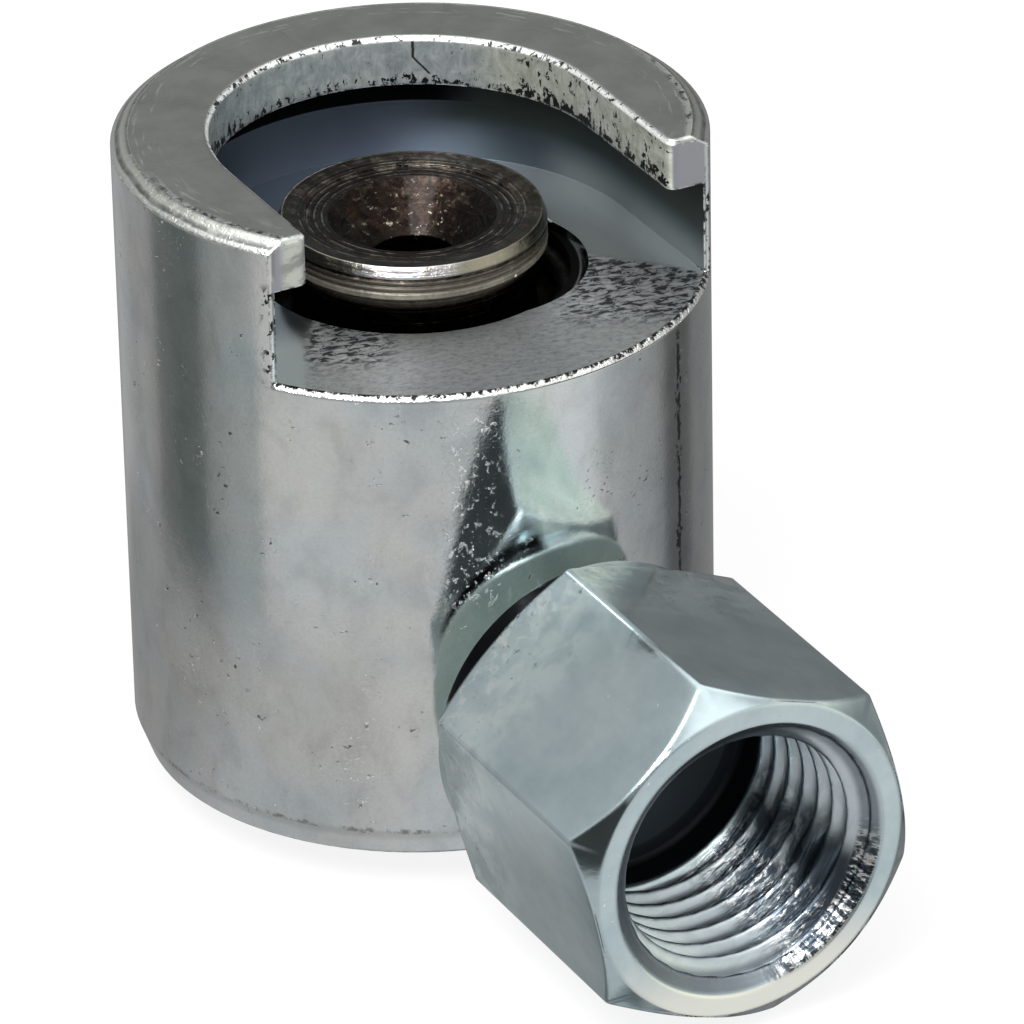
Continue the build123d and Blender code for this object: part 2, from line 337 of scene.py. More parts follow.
class ZincBody:
    """Near-mirror zinc plate on the turned body, with dull lip faces, a slate pocket and a milled shelf."""

    def __init__(self):
        self.material, self.s = new_material("zinc_body")
        self.find_surfaces()
        self.paint_plate()
        self.paint_slot_edge()
        self.paint_scratch()
        self.paint_patch()
        self.paint_top()
        self.paint_bevel()
        self.paint_lip_wall()
        self.paint_crack()
        self.paint_inner_rim()
        self.paint_pocket()
        self.paint_shelf()
        self.paint_strokes()
        self.paint_bore_and_foot()
        self.paint_shelf_rim()
        self.finish()

    def find_surfaces(self):
        """Shares, from 0 to 1, that say on which surface of the body a point is."""
        s = self.s
        self.point, x, y, z = s.place()
        self.x, self.y, self.z = x, y, z
        self.radius = radius = s.length(x, y)
        self.angle = s.turn(x, y)
        self.around = s.vector((self.angle, body_radius), z)
        self.outside = s.step(radius, body_radius, -0.25, -0.1)
        inside = s.rest(self.outside)
        self.above_bevel = s.minus(z, lip_top - lip_bevel_height)
        cone = s.scale_add(self.above_bevel, lip_bevel_width / lip_bevel_height, radius)
        on_cone = s.step(cone, body_radius, -0.12, -0.05)
        self.bevel = s.product(on_cone, s.span(self.above_bevel, -0.02, 0.02))
        self.top = s.product(s.step(z, lip_top, -0.12, -0.02), s.rest(self.bevel))
        above_pocket = s.step(z, lip_bottom, -0.06, 0.02)
        wall_only = s.rest(s.larger(self.top, self.bevel))
        self.lip_wall = s.product(above_pocket, wall_only, inside)
        self.tips = s.product(self.lip_wall, s.span(y, 0.15 - tip_distance, 0.05 - tip_distance))
        under_lip = s.rest(above_pocket)
        above_shelf = s.step(z, shelf_level, 0.001, 0.003)
        self.pocket_wall = s.product(under_lip, above_shelf, inside)
        within = s.step(radius, body_radius, -0.02, -0.06)
        self.shelf = s.product(s.at_level(z, shelf_level, 0.004), within)
        below_shelf = s.step(z, shelf_level, -0.04, -0.1)
        self.bore = s.product(below_shelf, s.step(radius, bore_reach, 0.12, -0.12))
        near_bore = s.step(radius, crescent_reach, 0.5, 0)
        self.crescent = s.product(below_shelf, s.rest(self.bore), near_bore)
        near_top = s.step(z, lip_bottom, -0.5, -0.25)
        self.worn = s.larger(s.step(radius, body_radius, -0.8, -0.4), near_top)
        edge, self.rounded = s.edges(0.26, 0.25)
        self.edge = s.product(edge, self.worn)

    def cover(self, colour, *shares):
        """Lays a colour over the body's, as far as all the shares allow."""
        self.colour = self.s.cover(self.colour, colour, *shares)

    def paint_plate(self):
        """Softly clouded plate, cool to warm grey, with stains and small black flecks in loose clusters."""
        s, point = self.s, self.point
        clouds = s.noise(point, 0.13, 3.0, 0.5)
        self.mottle = s.noise(s.stretch(self.around, 1.0, 0.7, 1.0), 0.55, 4.0, 0.55, 0.4)
        self.grain = s.noise(point, 6.0, 4.0, 0.7)
        hue = s.ramp(clouds, [
            (0.38, (0.69, 0.745, 0.765)), (0.5, (0.735, 0.77, 0.765)), (0.62, (0.79, 0.795, 0.765)),
        ])
        plate = s.tint(hue, s.ramp(self.mottle, [(0.32, 0.84), (0.5, 0.96), (0.62, 1.0)]))
        self.colour = s.tint(plate, s.ramp(self.grain, [(0.34, 0.92), (0.6, 1.0)]))
        self.cover((0.36, 0.38, 0.38), s.span(s.noise(point, 1.0, 6.0, 0.75, 0.8), 0.62, 0.72), 0.35)

        # Thicker in the clusters, and by the slot's edges
        crowd = s.span(s.noise(point, 0.33, 2.0, 0.5), 0.46, 0.62, 0.0, 0.090)
        crowd = s.scale_add(s.span(self.edge, 0.02, 0.3), 0.12, crowd)
        fleck_noise = s.noise(s.stretch(point, 1.0, 1.0, 1.5), 2.1, 4.0, 0.72, 0.6)
        self.flecks = s.product(s.span(s.total(fleck_noise, crowd), 0.705, 0.735), self.outside)
        self.cover((0.05, 0.055, 0.055), self.flecks, 0.85)

    def paint_slot_edge(self):
        """Black dents along the slot's upright edges."""
        s, z = self.s, self.z
        beside_slot = s.step(s.math("ABSOLUTE", self.x), slot_half_width, 0.45, 0.15)
        in_front = s.span(self.y, 1.0 - tip_distance, 0.2 - tip_distance)
        above_shelf = s.step(z, shelf_level, -0.3, 0)
        below_lip = s.step(z, lip_bottom, 0.6, 0)
        slot_edge = s.product(self.outside, beside_slot, in_front, above_shelf, below_lip)
        self.cover((0.02, 0.022, 0.022), slot_edge, s.span(s.noise(self.point, 2.3, 2.0, 0.6), 0.54, 0.57))

    def paint_scratch(self):
        """Long dark scratch down the right side, with knots in it."""
        s, z = self.s, self.z
        line = s.scale_add(s.noise(s.vector(0.0, 0.0, z), 0.9, 4.0, 0.7), 0.04, scratch_turn - 0.02)
        knots = s.span(s.noise(self.point, 1.0, 3.0, 0.7), 0.50, 0.60, 0.0, -0.014)
        scratch = s.span(s.total(s.distance(self.angle, line), knots), 0.012, 0.006)
        below_shelf = s.step(z, shelf_level, 0, -1.0)
        broken = s.span(s.noise(self.point, 1.2, 3.0, 0.7), 0.40, 0.50)
        self.cover((0.05, 0.055, 0.055), scratch, self.outside, below_shelf, broken, 0.9)

    def paint_patch(self):
        """Pale specks beside the hexagon."""
        s, z = self.s, self.z
        beside = s.span(s.distance(self.angle, patch_turn), 0.11, 0.05)
        patch = s.product(self.outside, beside, s.span(z, 12.5, 14.5), s.span(z, 23.8, 22.5))
        patch_noise = s.noise(s.stretch(self.point, 1.0, 1.0, 0.8), 2.6, 4.0, 0.75, 0.4)
        self.pale_specks = s.product(patch, s.span(patch_noise, 0.58, 0.63))
        self.cover((0.97, 0.98, 0.98), self.pale_specks, 0.8)

    def paint_top(self):
        """Dull turned top, with a few bright scuffs near its rim."""
        s = self.s
        scuff_noise = s.noise(s.vector((self.angle, 5.0), (self.radius, 3.0)), 1.0, 4.0, 0.7)
        near_rim = s.span(self.radius, 11.4, 12.6)
        scuffs = s.product(self.top, near_rim, s.span(scuff_noise, 0.55, 0.63), 0.6)
        shade = s.ramp(s.noise(self.point, 0.45, 5.0, 0.65), [(0.35, 0.82), (0.62, 1.0)])
        self.cover(s.tint((0.53, 0.555, 0.525), shade), self.top)
        self.cover((0.92, 0.93, 0.92), scuffs)

    def paint_bevel(self):
        """Outer bevel painted with two uneven bright highlight lines and a dark line of shade between them, torn
        along its front.
        """
        s = self.s
        waver = s.noise(s.vector((self.angle, 9.0)), 0.35, 3.0, 0.6)
        bevel_highlight_lines = s.ramp(s.scale_add(waver, 0.30, self.above_bevel), [
            (0.20, (0.74, 0.76, 0.72)), (0.27, (0.84, 0.85, 0.80)), (0.34, (0.18, 0.19, 0.18)),
            (0.42, (0.34, 0.36, 0.34)), (0.50, (0.84, 0.85, 0.78)), (0.62, (0.72, 0.74, 0.67)),
            (0.70, (0.36, 0.38, 0.36)),
        ])
        self.ragged = s.span(s.noise(self.point, 1.5, 4.0, 0.75), 0.36, 0.56)
        self.cover(bevel_highlight_lines, self.bevel, s.scale_add(self.ragged, 0.45, 0.55))
        tear_noise = s.noise(self.point, 1.5, 4.0, 0.75, 0.3)
        torn = s.product(self.top, s.span(self.radius, 12.75, 13.05), s.span(self.y, 3.0, -2.0))
        self.cover((0.95, 0.96, 0.92), torn, s.span(tear_noise, 0.48, 0.53))
        self.cover((0.06, 0.065, 0.06), torn, s.span(tear_noise, 0.46, 0.42), 0.9)

    def paint_lip_wall(self):
        """Lip's inner wall and tips: blue-grey, creamier to the right, with black notches."""
        s, x, z = self.s, self.x, self.z
        self.along = along = s.product(self.angle, lip_wall_radius)
        brush = s.noise(s.vector((self.angle, 50.0), (z, 0.7)), 1.0, 4.0, 0.7)
        blotch = s.noise(s.vector(along, (z, 0.8)), 1.3, 5.0, 0.7, 0.5)
        cool = s.ramp(blotch, [(0.36, (0.33, 0.37, 0.39)), (0.52, (0.45, 0.50, 0.51)), (0.66, (0.60, 0.64, 0.63))])
        cream = s.ramp(blotch, [(0.36, (0.40, 0.43, 0.36)), (0.52, (0.55, 0.58, 0.50)), (0.66, (0.70, 0.72, 0.64))])
        wall_tone = s.blend(s.span(x, 6.0, 8.2), cool, cream)
        self.cover(s.tint(wall_tone, s.ramp(brush, [(0.36, 0.84), (0.6, 1.0)])), self.lip_wall)

        # Lilac tips, the left one with a painted cream highlight over its inner half and painted dark shade at its
        # outer top
        self.cover((0.25, 0.25, 0.275), self.tips)
        cream_highlight_half = s.product(self.tips, s.span(x, -11.0, -10.5), s.span(x, 0.0, -1.0))
        self.cover(s.tint((0.50, 0.52, 0.46), s.ramp(blotch, [(0.40, 0.5), (0.55, 1.0)])), cream_highlight_half, 0.8)
        dark_shade_half = s.product(self.tips, s.span(x, -11.0, -11.3), s.span(z, 29.6, 30.0))
        self.cover((0.09, 0.09, 0.10), dark_shade_half, 0.6)

        # Notches, thickest low down and at both sides
        lower = s.step(z, lip_bottom, 1.1, 0.1)
        sides = s.larger(s.span(x, 7.6, 8.6), s.span(x, -3.5, -6.5))
        crowd = s.scale_add(lower, 0.13, s.product(sides, 0.075))
        notch_noise = s.noise(s.vector((along, 2.5), (z, 1.5)), 1.0, 4.0, 0.7, 0.4)
        notches = s.span(s.total(notch_noise, crowd), 0.660, 0.675)
        self.notches = s.product(notches, self.lip_wall, s.rest(self.tips))
        self.cover((0.012, 0.014, 0.014), self.notches)

    def paint_crack(self):
        """Hairline crack in the back of the lip's wall, bent at half its height."""
        s, z = self.s, self.z
        line = s.scale_add(s.noise(s.vector(0.0, 0.0, z), 1.6, 3.0, 0.6), 0.25, crack_x - 0.12)
        line = s.scale_add(s.larger(s.minus(crack_bend, z), 0.0), 0.75, line)
        crack = s.product(s.span(s.distance(self.x, line), 0.08, 0.04), self.lip_wall)
        above_end = s.step(z, lip_bottom, 0.5, 0.6)
        self.cover((0.015, 0.015, 0.015), crack, s.span(self.y, 2.0, 4.0), above_end, 0.95)

    def paint_inner_rim(self):
        """Rim between the lip's top and its inner wall, painted as a highlight in bright beads broken by black
        ones.
        """
        s, z = self.s, self.z
        rim = s.between(z, lip_top - 0.25, lip_top - 0.20, lip_top - 0.016, lip_top - 0.004)
        rim_noise = s.noise(s.vector((self.along, 2.2), (z, 2.0), 3.0), 1.0, 4.0, 0.75, 0.4)
        highlight_beads = s.ramp(rim_noise, [
            (0.42, (0.02, 0.02, 0.02)), (0.48, (0.95, 0.96, 0.94)), (0.60, (0.70, 0.73, 0.72)),
        ])
        self.cover(highlight_beads, rim, s.span(self.radius, 12.6, 12.4))

    def paint_pocket(self):
        """Slate wall, with a painted black shadow right under the lip, painted greenish shade under its right side,
        and lighter low down at its right end.
        """
        s, x, z, wall = self.s, self.x, self.z, self.pocket_wall
        self.cover(s.blend(s.span(x, 4.0, 9.0), (0.205, 0.235, 0.290), (0.095, 0.115, 0.135)), wall)
        self.cover((0.075, 0.088, 0.080), wall, s.span(x, 4.5, 8.0), s.span(z, 25.9, 26.7))
        self.cover((0.30, 0.33, 0.33), wall, s.span(x, 9.5, 11.0), s.span(z, 26.6, 24.8))
        near_lip = s.step(z, lip_bottom, -1.74, -1.66)
        self.shadow = s.product(wall, near_lip, s.span(x, 9.0, 6.0))
        self.cover((0.006, 0.007, 0.008), self.shadow)

    def paint_shelf(self):
        """Smooth blue-grey shelf, with painted reflection making it lighter to the right and at its front left."""
        s, x = self.s, self.x
        self.cover(s.blend(s.span(x, 2.0, 8.5), (0.36, 0.41, 0.47), (0.66, 0.72, 0.74)), self.shelf)
        self.cover((0.90, 1.0, 1.0), self.shelf, s.span(self.y, -2.5, -5.5), s.span(x, -5.0, -7.5))

    def paint_strokes(self):
        """Short strokes that the cutter left on the front of the shelf, thickest in a patch at each end."""
        s, x, y, point = self.s, self.x, self.y, self.point
        sideways = s.scale_add(x, picture_right[0], s.product(y, picture_right[1]))
        inwards = s.scale_add(x, picture_up[0], s.product(y, picture_up[1]))
        stray = s.scale_add(s.noise(point, 0.9, 4.0, 0.7), 1.6, -0.8)
        sloped = s.scale_add(sideways, -0.10, inwards)
        self.strokes = s.noise(s.vector((sideways, 1.6), (sloped, 6.5)), 1.0, 4.0, 0.7, 0.5)
        self.fine = s.noise(s.vector((sideways, 3.0), (sloped, 9.0), 4.0), 1.0, 4.0, 0.7)
        swept = s.scale_add(s.math("ABSOLUTE", x), 1.125, s.total(y, stray))
        right_of_start = s.span(s.scale_add(stray, 0.4, sideways), -5.2, -4.6)
        self.milled = s.product(self.shelf, s.span(swept, 5.0, 4.4), right_of_start)
        stray_sideways = s.total(sideways, stray)
        stray_inwards = s.total(inwards, stray)
        left_patch = s.product(
            s.span(stray_sideways, -0.4, -1.8), s.span(stray_inwards, -2.4, -2.9),
            s.span(stray_inwards, -5.4, -4.6))
        right_patch = s.product(
            s.span(stray_sideways, 6.4, 7.6), s.span(stray_inwards, 0.6, 0.0), s.span(stray_inwards, -3.6, -2.6))
        patches = s.larger(left_patch, right_patch)
        self.ends = s.product(self.milled, s.scale_add(patches, 0.85, 0.15))
        self.cover((0.44, 0.46, 0.455), self.milled, 0.85)
        self.cover((0.20, 0.22, 0.23), self.milled, s.span(self.fine, 0.50, 0.60), 0.45)
        self.cover((0.025, 0.029, 0.035), self.ends, s.span(self.strokes, 0.50, 0.54), 0.92)
        self.cover((0.80, 0.84, 0.86), self.ends, s.span(self.strokes, 0.44, 0.40), 0.45)
        self.cover((0.05, 0.05, 0.05), self.shelf, s.span(s.noise(point, 3.4, 3.0, 0.7), 0.70, 0.73))

    def paint_bore_and_foot(self):
        """Bore painted dark as shade, grey crescent, base bevel painted greyer as shade under a line of grime, and
        edges painted with bright highlight beads and black ones.
        """
        s, z = self.s, self.z
        self.cover((0.006, 0.006, 0.006), self.bore)
        self.cover((0.27, 0.28, 0.285), self.crescent, 0.95)
        foot = s.product(self.outside, s.step(z, base_bevel_height, 0.15, -0.1))
        self.cover((0.46, 0.49, 0.48), foot, 0.55)
        foot_line = s.span(s.distance(z, base_bevel_height), 0.22, 0.05)
        grime = s.span(s.noise(self.around, 1.8, 4.0, 0.7), 0.45, 0.62)
        self.cover((0.16, 0.15, 0.13), foot_line, grime, self.outside, 0.7)
        bead_noise = s.noise(self.point, 2.6, 3.0, 0.7)
        highlight_beads = s.ramp(bead_noise, [(0.45, (0.03, 0.03, 0.03)), (0.51, (0.97, 0.98, 0.96))])
        self.cover(highlight_beads, self.edge, 0.9)

    def paint_shelf_rim(self):
        """Chamfer in front of the shelf, painted as a black line of shade above a string of white highlight beads.
        """
        s, z = self.s, self.z
        chamfer = s.between(z, shelf_level - 0.26, shelf_level - 0.20, shelf_level + 0.01, shelf_level + 0.02)
        near_outside = s.step(self.radius, body_radius, -0.30, -0.24)
        in_front = s.span(self.y, 0.6 - tip_distance, 0.2 - tip_distance)
        within_slot = s.step(s.math("ABSOLUTE", self.x), slot_half_width, 0.05, -0.05)
        self.rim = s.product(chamfer, near_outside, in_front, within_slot)
        bead_noise = s.noise(s.vector((self.angle, 32.0), (z, 3.0)), 1.0, 3.0, 0.7)
        self.bead_noise = s.scale_add(s.minus(z, shelf_level), -1.1, bead_noise)
        highlight_beads = s.ramp(self.bead_noise, [(0.50, (0.02, 0.02, 0.02)), (0.60, (0.97, 0.98, 0.96))])
        self.cover(highlight_beads, self.rim)

    def finish(self):
        """Sets roughness, relief and metal by surface, and adds the shader."""
        s = self.s
        rough = s.scale_add(self.mottle, 0.07, 0.03)
        rough = s.scale_add(self.top, 0.22, rough)
        rough = s.scale_add(self.lip_wall, 0.30, rough)
        rough = s.scale_add(self.pocket_wall, 0.32, rough)
        rough = s.scale_add(s.scale_add(self.milled, 0.22, 0.10), self.shelf, rough)
        rough = s.scale_add(s.larger(self.bore, self.shadow), 0.5, rough)
        matt_shelf = s.product(self.shelf, s.span(self.x, 0.0, 4.0), s.span(self.y, -7.0, -3.0, 0.10, 0.13))
        metallic = s.rest(s.larger(s.product(self.lip_wall, 0.45), matt_shelf))

        relief = s.scale_add(self.mottle, 0.012, s.product(self.grain, 0.004))
        relief = s.product(relief, s.rest(s.larger(self.pocket_wall, self.shelf)))
        relief = s.minus(relief, s.product(self.flecks, 0.012))
        relief = s.scale_add(self.pale_specks, 0.03, relief)
        relief = s.minus(relief, s.product(self.notches, 0.05))
        relief = s.scale_add(s.product(self.strokes, self.ends), -0.03, relief)
        relief = s.scale_add(s.product(self.fine, self.milled), 0.004, relief)
        relief = s.scale_add(s.product(self.ragged, self.bevel), 0.015, relief)
        relief = s.scale_add(s.product(self.bead_noise, self.rim), 0.12, relief)
        plain_normal = s.add("NewGeometry").outputs["Normal"]
        base = s.blend(self.worn, plain_normal, self.rounded)
        s.metal(self.colour, rough, s.bump(relief, base), metallic)


def dark_steel():
    """Oily dark steel of the piston, with turned rings, rust, specks of dust and bright worn edges."""
    material, s = new_material("dark_steel")
    point, x, y, z = s.place()
    radius = s.length(x, y)
    edge, rounded = s.edges(0.10, 0.3)
    rings = s.noise(s.vector((radius, 8.0), (z, 8.0)), 1.0, 3.0, 0.6)
    grime = s.noise(point, 1.2, 5.0, 0.72, 0.6)
    blots = s.span(s.noise(point, 2.4, 4.0, 0.72, 0.5), 0.52, 0.60)
    steel = s.ramp(grime, [
        (0.36, (0.014, 0.011, 0.008)), (0.5, (0.028, 0.022, 0.017)), (0.64, (0.130, 0.108, 0.084)),
    ])
    steel = s.cover(steel, (0.010, 0.008, 0.007), blots, 0.8)
    steel = s.tint(steel, s.ramp(rings, [(0.38, 0.60), (0.60, 1.15)]))

    # Brown dish with smudges, and pale crumbs towards its middle
    dish = s.product(s.span(radius, 4.9, 4.5), s.step(z, nose_top, 0.1, -0.1))
    steel = s.cover(steel, (0.022, 0.011, 0.008), dish, 0.6)
    smudges = s.ramp(s.noise(point, 1.5, 5.0, 0.75, 0.5), [(0.42, 0.25), (0.60, 1.0)])
    steel = s.blend(dish, steel, s.tint(steel, smudges))
    crumbs = s.product(s.span(radius, 4.4, 2.2), s.span(s.noise(point, 2.6, 4.0, 0.75), 0.60, 0.66))
    steel = s.cover(steel, (0.55, 0.47, 0.37), crumbs, 0.8)

    # Stepped rings round the recess, dark with oil, and bright rings painted as highlights on the steps
    steps = s.math("SINE", s.product(s.minus(radius, nose_recess_radius), 2 * pi / nose_step_width))
    stepped = s.product(s.between(radius, 3.9, 4.1, 5.3, 5.45), s.step(z, nose_top, -0.75, -0.55))
    oiled = s.span(grime, 0.62, 0.48)
    step_highlight_share = s.span(grime, 0.44, 0.60)
    steel = s.cover(steel, (0.010, 0.008, 0.007), stepped, s.span(steps, 0.1, 0.6), oiled, 0.75)
    steel = s.cover(steel, (0.36, 0.33, 0.28), stepped, s.span(steps, -0.6, -0.9), step_highlight_share, 0.6)

    rust_place = s.away(point, rust_spot)
    rust = s.larger(s.span(rust_place, 0.55, 0.15), s.span(s.noise(point, 0.9, 5.0, 0.7), 0.60, 0.72))
    steel = s.cover(steel, (0.085, 0.024, 0.016), rust, 0.7)

    # Duller rings under the nose's rim, a cone below them painted lighter as lit, and the stem below them painted
    # near black as shade
    low_tone = s.blend(
        s.step(z, nose_bottom, 0.45, 0.95), (0.300, 0.275, 0.225), (0.085, 0.072, 0.055))
    low_side = s.product(
        s.span(radius, 4.5, 4.8), s.step(z, nose_top, -0.65, -0.85),
        s.step(z, nose_bottom, -0.4, 0))
    steel = s.cover(steel, low_tone, low_side, s.span(grime, 0.62, 0.42, 0.5, 0.95))
    shaded_stem = s.step(z, nose_bottom, 0.05, -0.1)
    steel = s.cover(steel, (0.010, 0.008, 0.006), shaded_stem, 0.55)

    # Painted highlight: a bright band round the rim, brightest at its front left
    rim_highlight = s.product(s.span(radius, 6.05, 6.12), s.step(z, nose_top, -0.62, -0.45))
    steel = s.cover(steel, (0.62, 0.58, 0.46), rim_highlight, s.span(x, 3.5, 0.5, 0.25, 0.55))
    lit = s.product(rim_highlight, s.span(x, -0.3, -1.6), s.span(x, -5.6, -4.4), s.span(grime, 0.66, 0.50))
    steel = s.cover(steel, (0.76, 0.74, 0.77), lit, 0.85)
    steel = s.cover(steel, (0.50, 0.46, 0.40), edge, s.rest(shaded_stem), s.span(grime, 0.40, 0.54), 0.4)

    # White specks of dust
    nearest = 10.0
    for spot in dust_spots:
        nearest = s.math("MINIMUM", s.away(point, spot), nearest)
    dust = s.span(nearest, 0.12, 0.08)
    steel = s.cover(steel, (0.95, 0.95, 0.93), dust)

    rough = s.scale_add(grime, 0.25, 0.10)
    rough = s.scale_add(dust, 0.5, rough)
    relief = s.scale_add(rings, 0.035, s.product(grime, 0.07))
    relief = s.scale_add(s.product(steps, stepped), -0.02, relief)
    metallic = s.rest(s.product(low_side, 0.6))
    s.metal(steel, rough, s.bump(relief, rounded), metallic, coat=0.1)
    return material


def plated_adapter():
    """Cool bright plate on the hexagon, with worn corners under painted highlights, an oily thread with painted
    shade in it, a dark collar, and painted shade in the relief and bottom.
    """
    material, s = new_material("plated_adapter")
    point, x, y, z = s.place()
    across = s.minus(x, inlet_x)
    above = s.minus(z, inlet_level)
    radius = s.length(across, above)
    turn = s.math("ARCTAN2", across, above)
    edge, rounded = s.edges(0.27, 0.3)
    clouds = s.noise(point, 0.25, 3.0, 0.55, 0.3)
    grain = s.noise(s.stretch(point, 1.0, 0.5, 1.0), 1.5, 5.0, 0.6)
    plate = s.ramp(clouds, [(0.36, (0.52, 0.635, 0.665)), (0.62, (0.62, 0.725, 0.75))])
    plate = s.tint(plate, s.ramp(grain, [(0.32, 0.95), (0.6, 1.0)]))

    # Scuffs, a painted glare highlight and dirt on the flats near the body, and a few bright flecks
    near_body = s.between(y, -hex_back - 6.5, -hex_back - 1.0, -hex_back - 0.1, -hex_back)
    scuffs = s.span(s.noise(point, 1.0, 5.0, 0.7, 0.5), 0.48, 0.62)
    plate = s.cover(plate, (0.93, 0.96, 0.94), near_body, scuffs, 0.55)
    glow = s.between(y, -hex_back - 7.5, -hex_back - 3.5, -hex_back - 2.2, -hex_back - 0.6)
    plate = s.cover(plate, (0.78, 0.90, 0.91), glow, s.span(s.noise(point, 0.5, 3.0, 0.6), 0.38, 0.60), 0.6)
    dirt = s.span(s.noise(point, 2.4, 5.0, 0.75, 0.5), 0.60, 0.66)
    plate = s.cover(plate, (0.10, 0.13, 0.14), near_body, dirt, 0.7)
    plate = s.cover(plate, (0.95, 0.97, 0.96), s.span(s.noise(point, 1.9, 3.0, 0.7, 0.5), 0.725, 0.74))

    # Worn corners with painted highlights along them, brightest near the body
    chips_and_highlights = s.ramp(s.noise(point, 3.0, 3.0, 0.7), [(0.36, (0.22, 0.25, 0.26)), (0.46, (0.97, 0.98, 0.97))])
    outer = s.product(s.span(radius, 7.2, 7.6), s.step(y, -hex_back, 0.05, -0.05))
    fade = s.span(y, -hex_back - 8.0, -hex_back - 2.0, 0.25, 1.0)
    plate = s.cover(plate, chips_and_highlights, edge, fade, outer)

    # Collar: green-grey, and black on the side that faces the photograph's upper left
    on_rim = s.step(radius, collar_radius, -0.08, -0.02)
    collar_side = s.product(on_rim, s.step(y, -hex_back, -0.1, 0))
    behind = s.product(s.step(y, -hex_back, -0.04, 0.04), s.rest(collar_side))
    glints = s.span(s.noise(s.stretch(point, 1.6, 1.0, 0.6), 1.1, 4.0, 0.7, 0.5), 0.58, 0.74)
    plate = s.cover(plate, s.blend(glints, (0.50, 0.60, 0.58), (0.74, 0.84, 0.80)), behind)
    facing = s.span(s.distance(turn, black_side_turn), radians(36), radians(30))
    black_side = s.product(collar_side, facing, s.step(y, -collar_back, -0.05, -0.15))
    plate = s.cover(plate, (0.005, 0.006, 0.007), black_side)

    # Oily film in the thread with painted shade on its lower right side, furrows in the thread's roots painted dark
    # as shade, and the relief and bottom painted dark as shade, the bottom lighter on one side
    behind_thread = s.step(y, -thread_end, -0.12, 0)
    in_relief = s.step(radius, relief_radius, 0.35, 0.15)
    inner = s.product(in_relief, s.step(y, -hex_back, 0.6, 0.2))
    bore = s.product(s.span(radius, 6.9, 6.7), s.step(y, -thread_end, -0.1, -0.4))
    film = s.span(s.noise(s.stretch(point, 0.5, 1.4, 0.5), 0.75, 4.0, 0.65, 0.6), 0.42, 0.55)
    smear = s.product(s.sector(turn, 100, 112, 146, 158), s.span(y, -25.6, -27.6))
    film = s.larger(film, smear)
    plate = s.cover(plate, (0.66, 0.73, 0.77), bore, 0.8)
    film_shade_side = s.sector(turn, 92, 112, 150, 172)
    plate = s.cover(plate, (0.09, 0.12, 0.155), bore, film, s.scale_add(film_shade_side, 0.80, 0.12))
    shaded_furrows = s.product(bore, s.step(radius, thread_minor_radius, 0.30, 0.65))
    plate = s.cover(plate, (0.085, 0.110, 0.135), shaded_furrows, 0.65)
    deep = s.product(inner, behind_thread)
    plate = s.cover(plate, (0.015, 0.019, 0.023), deep)
    bottom = s.product(inner, s.step(y, -relief_end, -0.03, 0.03))
    bottom_light_and_shade = s.blend(s.span(across, -2.0, -6.0), (0.085, 0.11, 0.135), (0.28, 0.34, 0.39))
    plate = s.cover(plate, bottom_light_and_shade, bottom)

    # Creamy lower half of the front ring
    ring = s.product(s.span(y, 0.1 - hex_face, 0.03 - hex_face), s.span(above, -3.0, -7.0))
    plate = s.cover(plate, (1.0, 0.99, 0.90), ring, 0.85)

    # Chatter marks on the lower right of the mouth, and dashes across the thread, the bright ones painted as glints
    mouth = s.product(s.span(y, 1.0 - hex_face, 0.9 - hex_face), s.span(radius, 6.92, 6.82))
    lower_right = s.sector(turn, 85, 110, 160, 176)
    saw = s.noise(s.vector((turn, 26.0), (radius, 1.6)), 1.0, 3.0, 0.7)
    plate = s.cover(plate, (0.04, 0.05, 0.06), mouth, lower_right, s.span(saw, 0.50, 0.54), 0.95)
    plate = s.cover(plate, (0.98, 0.98, 0.96), mouth, lower_right, s.span(saw, 0.46, 0.43), 0.9)
    chatter = s.noise(s.vector((turn, 3.0), (y, 9.0), radius), 1.0, 3.0, 0.6, 0.4)
    dashes = s.noise(s.vector((turn, 9.0), (y, 7.0), 2.0), 1.0, 3.0, 0.7, 0.3)
    dash_side = s.sector(turn, 126, 138, 156, 170)
    plate = s.cover(plate, (1.0, 1.0, 1.0), bore, dash_side, s.span(dashes, 0.56, 0.60))
    plate = s.cover(plate, (0.08, 0.10, 0.14), bore, dash_side, s.span(dashes, 0.46, 0.42), 0.6)

    rough = s.scale_add(grain, 0.07, 0.09)
    rough = s.scale_add(bore, 0.16, rough)
    rough = s.scale_add(s.larger(deep, behind), 0.35, rough)
    relief = s.scale_add(grain, 0.008, s.product(clouds, 0.02))
    relief = s.scale_add(s.product(dashes, bore, dash_side), 0.05, relief)
    relief = s.scale_add(s.product(saw, mouth, lower_right), 0.05, relief)
    relief = s.scale_add(s.product(chatter, bore, s.scale_add(film_shade_side, 0.8, 0.2)), 0.03, relief)
    metallic = s.rest(s.product(s.larger(behind, deep), 0.5))
    s.metal(plate, rough, s.bump(relief, rounded), metallic)
    return material


def simple_material(name, dark, light, roughness, metallic):
    """Finish of a hidden piece: two tones of noise, with fine relief."""
    material, s = new_material(name)
    grain = s.noise(s.place()[0], 3.0, 4.0, 0.6)
    colour = s.ramp(grain, [(0.35, dark), (0.65, light)])
    rough = s.total(roughness, s.product(grain, 0.15))
    s.metal(colour, rough, s.bump(grain, strength=0.05), metallic)
    return material


